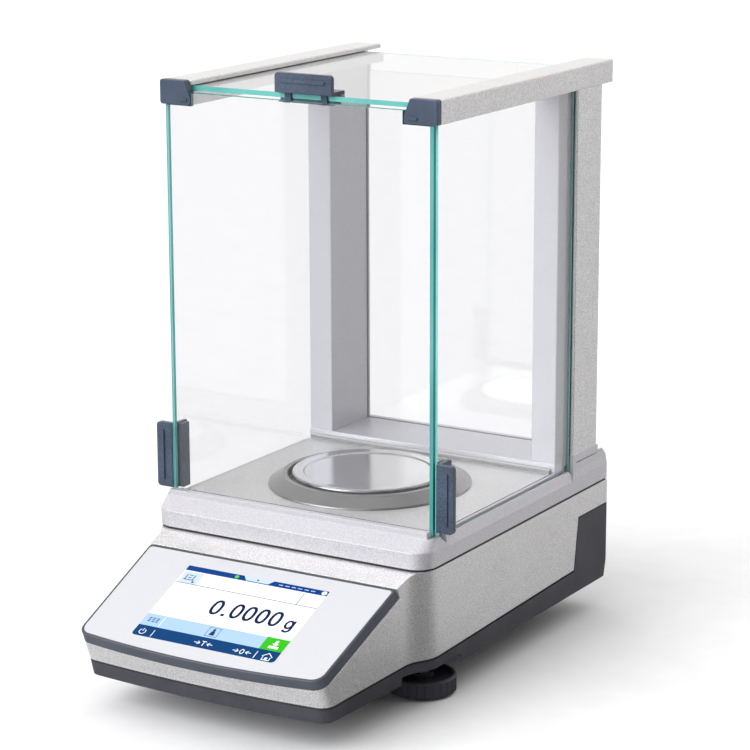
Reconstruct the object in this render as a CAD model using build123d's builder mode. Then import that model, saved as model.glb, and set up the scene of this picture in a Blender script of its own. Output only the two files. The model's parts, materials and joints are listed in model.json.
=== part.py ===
"""Analytical balance with a glass draft shield, built as separate named pieces.

Frame: origin on the bench under the middle of the balance, +Z up, the front faces -Y.
All sizes are in millimetres.
"""

import os
from math import atan2, cos, hypot, sin

from build123d import *

os.makedirs("parts", exist_ok=True)

# ---------------------------------------------------------------- driving dimensions

# heights above the bench
base_bottom_z = 19.2          # underside of the dark base
lean_z = 30.0                 # height where the housing's front changes its lean
seam_front_z = 27.3           # seam between dark base and silver housing, at its front
seam_rise = 0.0245            # how fast that seam climbs towards the rear
wing_top_z = 66.5             # top of the dark base at its rear corners
deck_z = 81.8                 # seam between housing and draft shield frame
bevel_z = 92.5                # where the frame's side starts to lean inwards
sill_z = 98.9                 # top of the frame around the floor plate
ledge_z = 102.3               # top of the ledge in front of the glass
shelf_z = 104.9               # shelf that the columns stand on
block_z = 106.6               # top of the rear corner blocks
rail_bottom_z = 326.6
rail_top_z = 340.0
rear_glass_top_z = 323.0

# half widths from the middle plane
body_half = 91.3              # housing and draft shield frame
rail_half = 89.8
column_inner = 68.7
column_outer = 84.9
door_inner = 85.2             # side door glass
door_outer = 87.8
cover_inner = 88.1            # column cover, outside the door slot
cover_outer = 90.4
front_glass_half = 87.0
rear_glass_half = 71.0
plate_half = 82.6

# places along the depth
frame_front_y = -67.3
frame_rear_y = 157.2
body_rear_y = 158.0
glass_y = -53.5               # front face of the front glass
side_door_front_y = -48.6
side_door_rear_y = 109.7
top_door_front_y = -46.5
top_door_rear_y = 137.5
column_front_y = 94.1
column_rear_y = 141.1
cover_front_y = 110.0
rail_front_y = -48.9
rail_rear_y = 155.8
plate_front_y = -41.9
shelf_front_y = 93.6
pan_y = 24.2
foot_x = 69.5
foot_y = -33.5
rear_foot_x = 38.0
rear_foot_y = 132.0

# glass and sheet
front_glass_t = 4.0
front_glass_bottom_z = 97.0
top_glass_bottom_z = 334.2
top_glass_t = 2.8
top_glass_half = 79.5
rear_glass_t = 3.0
wall = 2.6                    # housing walls
gap = 0.3                     # clearance between moving pieces
lift_gap = 0.05               # under a piece that lies on another and lifts off

# operating terminal
terminal_top_y = -83.3
terminal_top_z = 76.6
terminal_front_y = -157.1
terminal_front_z = 46.0
terminal_top_half = 82.2
terminal_front_half = 79.6
terminal_bow = 4.0            # how far the front edge bulges in the middle
terminal_corner_r = 8.0
base_front_y = -150.5         # front of the housing where its lean changes
bezel_t = 6.4
bezel_rim = 1.4
panel_t = 1.6
screen_w = 96.0
screen_h = 62.0
screen_middle = -41.5         # middle of the screen, measured down the panel

# weighing parts
pan_r = 45.0
pan_rim_z = 107.4
pan_hub_z = 101.5
pin_r = 5.0
ring_inner_r = 47.6
ring_outer_r = 59.0
ring_top_z = 105.6
plate_top_z = 99.2
plate_t = 0.95
plate_hole_r = 47.0
lip_r = 1.1

# levelling feet
wheel_r = 19.5
wheel_bottom_z = 1.5
wheel_top_z = 11.5
wheel_flutes = 26
stud_r = 3.95
stud_top_z = 40.0
bush_bore_r = 4.0
bush_r = 6.5
bush_bottom_z = 27.2
bush_top_z = 44.0
pocket_top_z = 24.0           # roof of the finger recess over a front foot

slope = atan2(terminal_top_z - terminal_front_z, terminal_top_y - terminal_front_y)
panel_length = hypot(terminal_top_z - terminal_front_z, terminal_top_y - terminal_front_y)

# origin at the top edge of the panel, local +Y runs up the slope
panel_plane = Plane(
    origin=(0, terminal_top_y, terminal_top_z),
    x_dir=(1, 0, 0),
    z_dir=(0, -sin(slope), cos(slope)),
)
pan_axis = Axis((0, pan_y, 0), (0, 0, 1))
# section through the pan's axis: local X is the radius, local Y is the height
pan_section = Plane(origin=(0, pan_y, 0), x_dir=(1, 0, 0), z_dir=(0, -1, 0))


def save(part, name):
    """Label a finished piece and write it to its own STEP file."""
    part.label = name
    export_step(part, f"parts/{name}.step")


def block(x, y, z, mode=Mode.ADD):
    """A box between two corners, each range given as (low, high)."""
    middle = ((x[0] + x[1]) / 2, (y[0] + y[1]) / 2, (z[0] + z[1]) / 2)
    with Locations(middle):
        Box(x[1] - x[0], y[1] - y[0], z[1] - z[0], mode=mode)


def rod(x, y, z, radius, mode=Mode.ADD):
    """An upright cylinder at (x, y) over the height range z."""
    with Locations((x, y, (z[0] + z[1]) / 2)):
        Cylinder(radius, z[1] - z[0], mode=mode)


def side_prism(points, half_width, mode=Mode.ADD):
    """A prism across the full width whose section is given as (y, z) points."""
    with BuildSketch(Plane.YZ.offset(-half_width)) as section:
        with BuildLine():
            Polyline(*points, close=True)
        make_face()
    extrude(section.sketch, amount=2 * half_width, mode=mode)


# ---------------------------------------------------------------- housing outlines

seam = 1.4                    # height of the shadow gap between two shells
seam_depth = 1.6              # how far the shadow gap goes in
base_inset = 1.2              # the base narrows by this much towards its underside


def housing_outline(z, inset, front_y):
    """Plan outline of the housing at height z: wide body, narrower terminal in front."""
    half = body_half - inset
    neck = terminal_top_half + 0.6 - inset
    side = terminal_front_half - inset
    rear = body_rear_y - inset
    front = front_y + inset
    corner_r = max(terminal_corner_r - inset, 2.0)
    body_end = -52.0
    neck_end = -77.0
    turn_r = ((neck_end - body_end) ** 2 + (half - neck) ** 2) / (4 * (half - neck))
    middle = ((half + neck) / 2, (body_end + neck_end) / 2)
    with BuildSketch(Plane.XY.offset(z)) as outline:
        with BuildLine():
            Line((0, rear), (half, rear))
            Line((half, rear), (half, body_end))
            RadiusArc((half, body_end), middle, turn_r)
            RadiusArc(middle, (neck, neck_end), -turn_r)
            Line((neck, neck_end), (side, front))
            ThreePointArc(
                (side, front),
                (side / 2, front - 0.75 * terminal_bow),
                (0, front - terminal_bow),
            )
            Line((0, front - terminal_bow), (0, rear))
        make_face()
        mirror(about=Plane.YZ)
        fillet(outline.vertices().group_by(Axis.Y)[1], radius=corner_r)
        rear_row = outline.vertices().group_by(Axis.Y)[-1]
        fillet(rear_row.filter_by(lambda v: abs(v.X) > half - 1), radius=max(4 - inset, 0.6))
    return outline.sketch


def slope_point(along, depth):
    """A (y, z) point on the terminal: along the slope downwards, and depth below it."""
    y = terminal_top_y - along * cos(slope) + depth * sin(slope)
    z = terminal_top_z - along * sin(slope) - depth * cos(slope)
    return (y, z)


def housing_side(inset):
    """Side profile that cuts the deck, the front slope and the seat of the bezel."""
    seat = bezel_t + 0.15 + inset
    return [
        (body_rear_y + 2, base_bottom_z),
        (body_rear_y + 2, deck_z - inset),
        (frame_front_y, deck_z - inset),
        slope_point(-0.5 - inset, inset),
        slope_point(-0.5 - inset, seat),
        slope_point(panel_length + 20, seat),
        (terminal_front_y - 20, base_bottom_z),
    ]


def seam_line(raised):
    """The two ends of the base seam in side view, raised by some height."""
    front = seam_front_z + raised - 50 * seam_rise
    rear = seam_front_z + raised + 350 * seam_rise
    return [(base_front_y - 50, front), (base_front_y + 350, rear)]


def lower_body(inset):
    """The housing's outer form from its underside up to the deck, set in all round."""
    side_inset = inset + base_inset
    with BuildPart() as body:
        add(housing_outline(base_bottom_z, side_inset, base_front_y + 1.3))
        add(housing_outline(lean_z, inset, base_front_y))
        loft(ruled=True)
        add(housing_outline(lean_z, inset, base_front_y))
        add(housing_outline(terminal_front_z, inset, terminal_front_y))
        loft(ruled=True)
        add(housing_outline(terminal_front_z, inset, terminal_front_y))
        extrude(amount=deck_z - terminal_front_z)
    return body.part


# the dark base rises to a wing at each rear corner; its front edge leans back
wing_bottom_z = 32.0
wing_profile = [
    (111.7, wing_bottom_z),
    (117.3, wing_top_z),
    (body_rear_y + 2, wing_top_z),
    (body_rear_y + 2, wing_bottom_z),
]

# ---------------------------------------------------------------- dark base

floor_z = base_bottom_z + 3.0
port_z = 48.0
foot_spots = [(-foot_x, foot_y), (foot_x, foot_y)]
rear_foot_spots = [(-rear_foot_x, rear_foot_y), (rear_foot_x, rear_foot_y)]
housing_screw_spots = [(x, y) for x in (-80.0, 80.0) for y in (10.0, 86.0)]
cell_screw_spots = [(x, y) for x in (-27.0, 27.0) for y in (2.0, 112.0)]
serial_x = -52.0
usb_b_x = -16.0
usb_a_x = 10.0
inlet_x = 58.0

outer_body = lower_body(0)

with BuildPart() as base_envelope:
    add(outer_body)
    side_prism([*seam_line(0), (200, 0), (-200, 0)], body_half + 2, mode=Mode.INTERSECT)

with BuildPart() as base_rim:
    add(housing_outline(base_bottom_z, seam_depth, base_front_y))
    extrude(amount=wing_top_z - base_bottom_z)
    add(housing_outline(base_bottom_z, wall, base_front_y))
    extrude(amount=wing_top_z - base_bottom_z, mode=Mode.SUBTRACT)
    side_prism(seam_line(-0.5) + seam_line(seam)[::-1], body_half + 2, mode=Mode.INTERSECT)

with BuildPart() as wing_shell:
    add(housing_outline(wing_bottom_z, 0, base_front_y))
    extrude(amount=wing_top_z - wing_bottom_z)
    add(housing_outline(wing_bottom_z, wall, base_front_y))
    extrude(amount=wing_top_z - wing_bottom_z, mode=Mode.SUBTRACT)
    side_prism(wing_profile, body_half + 2, mode=Mode.INTERSECT)

with BuildPart() as bottom_housing:
    add(base_envelope.part)
    add(housing_outline(floor_z, base_inset + wall, base_front_y + 1.3))
    extrude(amount=wing_top_z - floor_z, mode=Mode.SUBTRACT)
    for side in (-1, 1):
        block(sorted((side * 46, side * 94)), (-82, -8), (floor_z - 0.5, bush_bottom_z))
    add(base_envelope.part, mode=Mode.INTERSECT)
    add(base_rim.part)
    add(wing_shell.part)
    for x, y in foot_spots:
        rod(x, y, (bush_bottom_z - 1, bush_top_z), 9.5)
        rod(x, y, (bush_bottom_z, bush_top_z + 1), bush_r + 0.05, mode=Mode.SUBTRACT)
        rod(x, y, (pocket_top_z - 1, bush_bottom_z + 1), stud_r + 0.6, mode=Mode.SUBTRACT)
        rod(x, y, (base_bottom_z - 1, pocket_top_z), wheel_r + 2.5, mode=Mode.SUBTRACT)
        reach = sorted((x, x * 1.4))
        block(reach, (-77, -31), (base_bottom_z - 1, pocket_top_z), mode=Mode.SUBTRACT)
    for x, y in rear_foot_spots:
        rod(x, y, (4, floor_z), 12.5)
        rod(x, y, (3, 11), 4.1, mode=Mode.SUBTRACT)
    for x, y in housing_screw_spots:
        rod(x, y, (base_bottom_z - 1, 21.0), 3.9, mode=Mode.SUBTRACT)
        rod(x, y, (20, floor_z + 1), 2.2, mode=Mode.SUBTRACT)
    for x, y in cell_screw_spots:
        rod(x, y, (floor_z - 1, 31), 6.5)
        rod(x, y, (floor_z - 0.5, 32), 2.55, mode=Mode.SUBTRACT)
    rod(0, pan_y, (base_bottom_z - 1, floor_z + 1), 12.1, mode=Mode.SUBTRACT)
    # openings for the connectors in the rear wall
    rear_wall = (body_rear_y - wall - 1, body_rear_y + 1)
    block((serial_x - 16, serial_x + 16), rear_wall, (port_z - 6.6, port_z + 6.6), Mode.SUBTRACT)
    block((usb_b_x - 6.3, usb_b_x + 6.3), rear_wall, (port_z - 5.8, port_z + 5.8), Mode.SUBTRACT)
    block((usb_a_x - 7.5, usb_a_x + 7.5), rear_wall, (port_z - 3.9, port_z + 3.9), Mode.SUBTRACT)
    block((inlet_x - 5.3, inlet_x + 5.3), rear_wall, (port_z - 5.8, port_z + 5.8), Mode.SUBTRACT)
save(bottom_housing.part, "bottom_housing")

# dark foam strips that close the two shadow gaps
seal_inset = 0.7
seal_t = 0.8
seal_gap = 0.05

with BuildPart() as base_seal:
    add(housing_outline(base_bottom_z, seal_inset, base_front_y))
    extrude(amount=wing_bottom_z + 12 - base_bottom_z)
    add(housing_outline(base_bottom_z, seal_inset + seal_t, base_front_y))
    extrude(amount=wing_bottom_z + 12 - base_bottom_z, mode=Mode.SUBTRACT)
    side_prism(seam_line(seal_gap) + seam_line(seam - seal_gap)[::-1], body_half + 2,
               mode=Mode.INTERSECT)
    # ends short of the wings
    block((-95, 95), (wing_profile[0][0] - 1.5, 200), (0, 100), mode=Mode.SUBTRACT)
save(base_seal.part, "base_seal")

with BuildPart() as rear_feet:
    for x, y in rear_foot_spots:
        rod(x, y, (0, 4), 11)
        rod(x, y, (4, 10), 4)
    soles = rear_feet.faces().sort_by(Axis.Z)[:2]
    chamfer(soles.edges(), length=1)
save(rear_feet.part, "rear_feet")

with BuildPart() as hanger_cover:
    rod(0, pan_y, (base_bottom_z - 1, base_bottom_z), 15)
    rod(0, pan_y, (base_bottom_z, floor_z), 11.9)
    block((-1.2, 1.2), (pan_y - 9, pan_y + 9), (base_bottom_z - 2, base_bottom_z - 0.4), Mode.SUBTRACT)
save(hanger_cover.part, "hanger_cover")

with BuildPart() as foot_bushes:
    for x, y in foot_spots:
        rod(x, y, (bush_bottom_z, bush_top_z), bush_r)
        rod(x, y, (bush_bottom_z, bush_top_z), bush_bore_r, mode=Mode.SUBTRACT)
save(foot_bushes.part, "foot_bushes")

with BuildPart() as housing_screws:
    for x, y in housing_screw_spots:
        rod(x, y, (19.5, 21.0), 3.6)
        rod(x, y, (21.0, 36), 1.9)
        rod(x, y, (19, 20.4), 1.3, mode=Mode.SUBTRACT)
save(housing_screws.part, "housing_screws")

# ---------------------------------------------------------------- silver housing

with BuildPart() as shell_cavity:
    add(lower_body(wall))
    side_prism(housing_side(wall), body_half + 2, mode=Mode.INTERSECT)

with BuildPart() as upper_housing:
    add(outer_body)
    side_prism(housing_side(0), body_half + 2, mode=Mode.INTERSECT)
    side_prism([*seam_line(seam), (200, 150), (-200, 150)], body_half + 2, mode=Mode.INTERSECT)
    add(shell_cavity.part, mode=Mode.SUBTRACT)
    for x, y in housing_screw_spots:
        rod(x, y, (floor_z, deck_z - 1), 5)
        rod(x, y, (floor_z - 1, 40), 1.95, mode=Mode.SUBTRACT)
    rod(0, pan_y, (deck_z - wall - 1, deck_z + 1), 34, mode=Mode.SUBTRACT)
    # window under the screen
    with BuildSketch(panel_plane.offset(-bezel_t - 4)):
        with Locations((0, screen_middle)):
            Rectangle(screen_w + 8, screen_h + 4)
    extrude(amount=5, mode=Mode.SUBTRACT)
    # the wings of the base stand in this cut-out
    wing_cut = [
        (wing_profile[0][0] - 0.8, wing_bottom_z),
        (wing_profile[1][0] - 0.8, wing_top_z + 0.8),
        (body_rear_y + 3, wing_top_z + 0.8),
        (body_rear_y + 3, wing_bottom_z),
    ]
    side_prism(wing_cut, body_half + 3, mode=Mode.SUBTRACT)
save(upper_housing.part, "upper_housing")

# ---------------------------------------------------------------- operating terminal


def terminal_face(depth, inset):
    """Outline of the terminal in a plane parallel to the panel, depth below its top."""
    top = terminal_top_half - inset
    front = terminal_front_half - inset
    low = -panel_length + inset
    bow = terminal_bow / cos(slope)
    with BuildSketch(panel_plane.offset(-depth)) as face:
        with BuildLine():
            Line((0, -inset), (top, -inset))
            Line((top, -inset), (front, low))
            ThreePointArc((front, low), (front / 2, low - 0.75 * bow), (0, low - bow))
            Line((0, low - bow), (0, -inset))
        make_face()
        mirror(about=Plane.YZ)
        fillet(face.vertices().group_by(Axis.Y)[1], radius=terminal_corner_r - inset)
        upper_row = face.vertices().group_by(Axis.Y)[-1]
        fillet(upper_row.filter_by(lambda v: abs(v.X) > 10), radius=2.0)
    return face.sketch


with BuildPart() as terminal_bezel:
    extrude(terminal_face(bezel_t, 0), amount=bezel_t)
    top_face = terminal_bezel.faces().sort_by(Axis(origin=(0, 0, 0), direction=panel_plane.z_dir))[-1]
    chamfer(top_face.edges(), length=0.5)
    extrude(terminal_face(panel_t, bezel_rim), amount=panel_t + 1, mode=Mode.SUBTRACT)
    with BuildSketch(panel_plane.offset(-bezel_t - 1)):
        with Locations((0, screen_middle)):
            Rectangle(screen_w + 4, screen_h + 2)
    extrude(amount=bezel_t + 2, mode=Mode.SUBTRACT)
save(terminal_bezel.part, "terminal_bezel")

with BuildPart() as touch_panel:
    extrude(terminal_face(panel_t, bezel_rim + 0.1), amount=panel_t - 0.1)
save(touch_panel.part, "touch_panel")

with BuildPart(panel_plane) as display_module:
    with Locations((0, screen_middle, -panel_t - 3.0)):
        Box(screen_w + 2, screen_h, 6.0)
    with Locations((0, screen_middle, -panel_t)):
        Box(screen_w - 6, screen_h - 6, 0.6, mode=Mode.SUBTRACT)
save(display_module.part, "display_module")

with BuildPart(panel_plane) as display_board:
    with Locations((0, screen_middle, -11.2)):
        Box(112, 58, 1.6)
    with Locations((-30, screen_middle + 6, -13.2), (10, screen_middle - 8, -13.2)):
        Box(14, 14, 2.4)
    with Locations((38, screen_middle + 12, -13.6)):
        Box(22, 8, 3.2)
save(display_board.part, "display_board")

# ---------------------------------------------------------------- draft shield frame


def frame_outline(z, inset, front_y, rear_y, front_r, rear_r):
    """Rounded plan outline of the draft shield frame at height z."""
    half = body_half - inset
    with BuildSketch(Plane.XY.offset(z)) as outline:
        with BuildLine():
            Polyline((-half, front_y), (half, front_y), (half, rear_y), (-half, rear_y), close=True)
        make_face()
        fillet(outline.vertices().group_by(Axis.Y)[0], radius=front_r)
        fillet(outline.vertices().group_by(Axis.Y)[-1], radius=rear_r)
    return outline.sketch


with BuildPart() as draft_shield_frame:
    add(frame_outline(deck_z, seam_depth, frame_front_y + seam_depth, frame_rear_y - seam_depth, 11, 3))
    extrude(amount=seam)
    add(frame_outline(deck_z + seam, 0, frame_front_y, frame_rear_y, 12, 4))
    extrude(amount=bevel_z - deck_z - seam)
    # the front leans back, the sides hardly at all
    add(frame_outline(bevel_z, 0, frame_front_y, frame_rear_y, 12, 4))
    add(frame_outline(sill_z, 0.9, glass_y - 5.1, frame_rear_y - 1.2, 8, 3))
    loft(ruled=True)
    block((-86.4, 86.4), (glass_y - 4.2, glass_y), (sill_z - 1, ledge_z))
    # seat of the front glass
    block((-front_glass_half - 0.2, front_glass_half + 0.2), (glass_y, glass_y + front_glass_t + 0.2),
          (front_glass_bottom_z, ledge_z), mode=Mode.SUBTRACT)
    # rear corner blocks and the shelf for the columns
    block((-90.6, 90.6), (cover_front_y, frame_rear_y - 6), (sill_z - 1, ledge_z))
    block((-column_outer, column_outer), (shelf_front_y, column_rear_y + 2), (sill_z - 1, shelf_z))
    block((-cover_outer, cover_outer), (cover_front_y, column_rear_y + 2), (ledge_z, block_z))
    block((-cover_inner, cover_inner), (column_front_y - 20, frame_rear_y), (shelf_z, block_z + 1),
          mode=Mode.SUBTRACT)
    # seat of the floor plate
    seat_z = plate_top_z - plate_t - lift_gap
    block((-plate_half - gap, plate_half + gap), (plate_front_y - gap, shelf_front_y), (seat_z, 120),
          mode=Mode.SUBTRACT)
    for side in (-1, 1):
        # groove in which the side door slides, open at the rear
        groove = sorted((side * column_outer, side * cover_inner))
        block(groove, (side_door_front_y - 0.5, frame_rear_y + 1), (sill_z - 3, 130), Mode.SUBTRACT)
        # shadow line along the corner block
        line = sorted((side * 89.6, side * 92))
        block(line, (cover_front_y + 4.5, frame_rear_y + 1), (101.3, ledge_z), Mode.SUBTRACT)
        # three-cornered notches at both ends of the sill
        for end_y, length in ((glass_y + 9.6, 5.6), (cover_front_y, 4.0)):
            with BuildSketch(Plane.YZ.offset(side * 88.0)) as notch_section:
                with BuildLine():
                    Polyline((end_y - length, 98.3), (end_y, 94.0), (end_y, 101), (end_y - length, 101),
                             close=True)
                make_face()
            extrude(notch_section.sketch, amount=side * 5, mode=Mode.SUBTRACT)
        # the sill outside the door leans inwards between the corner blocks
        with BuildSketch(Plane.XZ.offset(40.5)):
            with BuildLine():
                Polyline(
                    (side * 93, bevel_z - 1), (side * 91.1, bevel_z - 1), (side * 89.3, 97.8),
                    (side * 86, 97.8), (side * 86, 99.5), (side * 93, 99.5), close=True,
                )
            make_face()
        extrude(amount=-(40.5 + cover_front_y - 1.6), mode=Mode.SUBTRACT)
    # hollow underside
    add(frame_outline(deck_z - 1, wall, frame_front_y + wall, frame_rear_y - wall, 9, 1.5))
    extrude(amount=93.3 - deck_z + 1, mode=Mode.SUBTRACT)
    rod(0, pan_y, (90, 100), 20, mode=Mode.SUBTRACT)
    for side in (-1, 1):
        for y in (100.6, 128.0):
            rod(side * 76.8, y, (92, shelf_z + 1), 2.2, mode=Mode.SUBTRACT)
save(draft_shield_frame.part, "draft_shield_frame")

with BuildPart() as deck_seal:
    bottom = deck_z + seal_gap
    inner = seal_inset + seal_t
    add(frame_outline(bottom, seal_inset, frame_front_y + seal_inset, frame_rear_y - seal_inset, 11.5, 3.5))
    extrude(amount=seam - 2 * seal_gap)
    add(frame_outline(bottom, inner, frame_front_y + inner, frame_rear_y - inner, 11, 3))
    extrude(amount=seam - 2 * seal_gap, mode=Mode.SUBTRACT)
save(deck_seal.part, "deck_seal")

# ---------------------------------------------------------------- columns and glass

screw_port_r = 3.6
rear_glass_front_y = column_rear_y - 5.3

for side, hand in ((-1, "left"), (1, "right")):
    with BuildPart() as column:
        with BuildSketch(Plane.XY.offset(shelf_z)) as section:
            with BuildLine():
                Polyline(
                    (side * column_inner, column_front_y), (side * column_outer, column_front_y),
                    (side * column_outer, column_rear_y), (side * column_inner, column_rear_y),
                    close=True,
                )
            make_face()
            fillet(section.vertices(), radius=0.8)
            with Locations((side * 76.8, 114.6)):
                Rectangle(12.2, 37.0, mode=Mode.SUBTRACT)
            with Locations((side * 76.8, 100.6), (side * 76.8, 128.0)):
                Circle(screw_port_r)
                Circle(2.05, mode=Mode.SUBTRACT)
            with Locations((side * 76.8, 98.0), (side * 76.8, 131.4)):
                Rectangle(3, 4)
            with Locations((side * 76.8, 100.6), (side * 76.8, 128.0)):
                Circle(2.05, mode=Mode.SUBTRACT)
            with Locations((side * column_inner, rear_glass_front_y + rear_glass_t / 2)):
                Rectangle(2 * (rear_glass_half - column_inner + 0.1), rear_glass_t + 0.2,
                          mode=Mode.SUBTRACT)
        extrude(amount=rail_bottom_z - shelf_z)
    save(column.part, f"{hand}_column")

    with BuildPart() as column_cover:
        block(sorted((side * cover_inner, side * cover_outer)), (cover_front_y, column_rear_y),
              (block_z, rail_bottom_z))
        outer_edges = column_cover.edges().filter_by(Axis.Z)
        fillet(outer_edges, radius=0.8)
    save(column_cover.part, f"{hand}_column_cover")

with BuildPart() as column_screws:
    for side in (-1, 1):
        for y in (100.6, 128.0):
            rod(side * 76.8, y, (90.3, 93.3), 3.8)
            rod(side * 76.8, y, (93.3, 116), 2.0)
            rod(side * 76.8, y, (89, 91.5), 1.5, mode=Mode.SUBTRACT)
save(column_screws.part, "column_screws")

with BuildPart() as rear_glass:
    block((-rear_glass_half, rear_glass_half),
          (rear_glass_front_y, rear_glass_front_y + rear_glass_t), (shelf_z, rear_glass_top_z))
save(rear_glass.part, "rear_glass")

cap_inner = 69.2
front_glass_top_z = 333.5

with BuildPart() as front_glass:
    with BuildSketch(Plane.XZ.offset(-glass_y)) as pane:
        with BuildLine():
            half = front_glass_half
            notch = cap_inner - 0.6
            Polyline(
                (-half, front_glass_bottom_z), (half, front_glass_bottom_z),
                (half, rail_bottom_z - 0.5),
                (notch, rail_bottom_z - 0.5), (notch, front_glass_top_z),
                (-notch, front_glass_top_z), (-notch, rail_bottom_z - 0.5),
                (-half, rail_bottom_z - 0.5), close=True,
            )
        make_face()
    extrude(amount=-front_glass_t)
    front_edges = front_glass.edges().filter_by(Axis.Z).group_by(Axis.Y)[0]
    chamfer(front_edges.filter_by(lambda e: abs(e.center().X) > notch + 1), length=1.4)
save(front_glass.part, "front_glass")

# ---------------------------------------------------------------- top rails and caps

chamber = (71.0, 82.8, 328.4, 332.0)     # hollow inside the rail: x range, z range
slot_low = 333.9                         # groove of the top door
slot_high = 337.9

for side, hand in ((-1, "left"), (1, "right")):
    with BuildPart() as top_rail:
        with BuildSketch(Plane.XZ.offset(-rail_rear_y)) as section:
            with BuildLine():
                profile = [
                    (rail_half, rail_bottom_z), (rail_half, rail_top_z), (71.0, rail_top_z),
                    (71.0, slot_high - 0.6), (72.2, slot_high - 0.6), (72.2, slot_high),
                    (80.5, slot_high), (80.5, slot_low), (68.9, slot_low),
                    (68.9, rail_bottom_z), (column_outer, rail_bottom_z), (column_outer, 331.4),
                    (cover_inner, 331.4), (cover_inner, rail_bottom_z),
                ]
                Polyline(*[(side * x, z) for x, z in profile], close=True)
            make_face()
            upper = section.vertices().group_by(Axis.Y)[-1]
            fillet(upper, radius=0.9)
            with Locations((side * (chamber[0] + chamber[1]) / 2, (chamber[2] + chamber[3]) / 2)):
                Rectangle(chamber[1] - chamber[0], chamber[3] - chamber[2], mode=Mode.SUBTRACT)
        extrude(amount=rail_rear_y - rail_front_y)
    save(top_rail.part, f"{hand}_top_rail")

    with BuildPart() as rail_cap:
        with BuildSketch(Plane.XZ.offset(-rail_front_y)) as section:
            with BuildLine():
                profile = [
                    (rail_half + 0.1, rail_bottom_z - 0.3), (rail_half + 0.1, rail_top_z + 0.3),
                    (73.0, rail_top_z + 0.3), (cap_inner, 331.0), (cap_inner, rail_bottom_z - 0.3),
                ]
                Polyline(*[(side * x, z) for x, z in profile], close=True)
            make_face()
            fillet(section.vertices(), radius=1.6)
        extrude(amount=rail_front_y - glass_y)
        front_rim = rail_cap.faces().sort_by(Axis.Y)[0]
        fillet(front_rim.edges(), radius=0.5)
        # raised mark near the lower inner corner
        with BuildSketch(Plane.XZ.offset(-glass_y)):
            with Locations((side * 74.6, 329.5)):
                SlotOverall(6.6, 1.7)
        extrude(amount=0.9)
        # plug that holds the cap in the rail
        block(sorted((side * (chamber[0] + 0.2), side * (chamber[1] - 0.2))),
              (rail_front_y, rail_front_y + 9), (chamber[2] + 0.2, chamber[3] - 0.2))
    save(rail_cap.part, f"{hand}_rail_cap")

# ---------------------------------------------------------------- doors and their handles


def door_handle(plane, length, proud):
    """Handle on the outer face of a door, close to its front edge.

    The plane lies on the outer glass face, its X runs along the door's front edge, its
    Y back along the door and its Z away from the glass.
    """
    with BuildPart(plane) as handle:
        with Locations((0, 4.0, 1.15)):
            Box(length, 11.0, 2.3)
        with Locations((0, -3.0, (proud + 0.6) / 2)):
            Box(length, 3.1, proud - 0.6)
        outer_corners = handle.edges().filter_by(lambda e: abs(e.length - 3.1) < 0.01)
        fillet(outer_corners.filter_by(
            lambda e: plane.to_local_coords(e.center()).Z > proud - 1), radius=2.2)
        with BuildSketch(Plane(plane.from_local_coords(Vector(0, -4.55, proud * 0.62)),
                               x_dir=plane.x_dir, z_dir=-plane.y_dir)):
            SlotOverall(0.78 * length, 1.9)
        extrude(amount=0.9)
    return handle.part


def door_clip(plane, length, glass_t):
    """Plate on the inner face of the glass, behind the handle."""
    with BuildPart(plane) as clip:
        with Locations((0, 3.5, -glass_t - 1.1)):
            Box(length, 7.0, 2.2)
    return clip.part


side_handle_y = -46.5
side_handle_z = 120.6
door_glass_t = door_outer - door_inner

for side, hand in ((-1, "left"), (1, "right")):
    with BuildPart() as door_glass:
        block(sorted((side * door_inner, side * door_outer)), (side_door_front_y, side_door_rear_y),
              (sill_z - 2.6, 330.9))
    save(door_glass.part, f"{hand}_door_glass")
    grip_plane = Plane(
        origin=(side * door_outer, side_handle_y, side_handle_z),
        x_dir=(0, 0, -side), z_dir=(side, 0, 0),
    )
    save(door_handle(grip_plane, 38.6, 11.3), f"{hand}_door_handle")
    save(door_clip(grip_plane, 38.0, door_glass_t), f"{hand}_door_clip")

with BuildPart() as top_door_glass:
    block((-top_glass_half, top_glass_half), (top_door_front_y, top_door_rear_y),
          (top_glass_bottom_z, top_glass_bottom_z + top_glass_t))
save(top_door_glass.part, "top_door_glass")
grip_plane = Plane(
    origin=(4.0, top_door_front_y, top_glass_bottom_z + top_glass_t),
    x_dir=(1, 0, 0), z_dir=(0, 0, 1),
)
save(door_handle(grip_plane, 36.5, 11.6), "top_door_handle")
with BuildPart() as top_door_clip:
    add(door_clip(grip_plane, 35.0, top_glass_t))
    # two lugs reach round the front edge of the glass
    for x in (4.0 - 11.7, 4.0 + 11.7):
        block((x - 2.0, x + 2.0), (top_door_front_y - 1.4, top_door_front_y),
              (top_glass_bottom_z - 2.2, top_glass_bottom_z + top_glass_t))
save(top_door_clip.part, "top_door_clip")

# ---------------------------------------------------------------- weighing parts


def turned(points):
    """A turned solid from (radius, height) points around the pan's axis."""
    with BuildPart() as piece:
        with BuildSketch(pan_section):
            with BuildLine():
                Polyline(*points, close=True)
            make_face()
        revolve(axis=pan_axis)
    return piece.part


with BuildPart() as weighing_pan:
    with BuildSketch(pan_section):
        with BuildLine():
            Line((0, 106.3), (37.4, 106.3))
            Line((37.4, 106.3), (38.4, 106.9))
            Line((38.4, 106.9), (43.2, pan_rim_z))
            ThreePointArc((43.2, pan_rim_z), (44.6, 106.7), (pan_r, 105.2))
            Polyline((pan_r, 105.2), (43.9, 105.2), (43.2, 105.9), (38.6, 105.5), (37.6, 104.9),
                     (8.5, 104.9), (8.5, pan_hub_z), (pin_r + 0.08, pan_hub_z),
                     (pin_r + 0.08, 104.6), (0, 104.6), (0, 106.3))
        make_face()
    revolve(axis=pan_axis)
save(weighing_pan.part, "weighing_pan")

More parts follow.
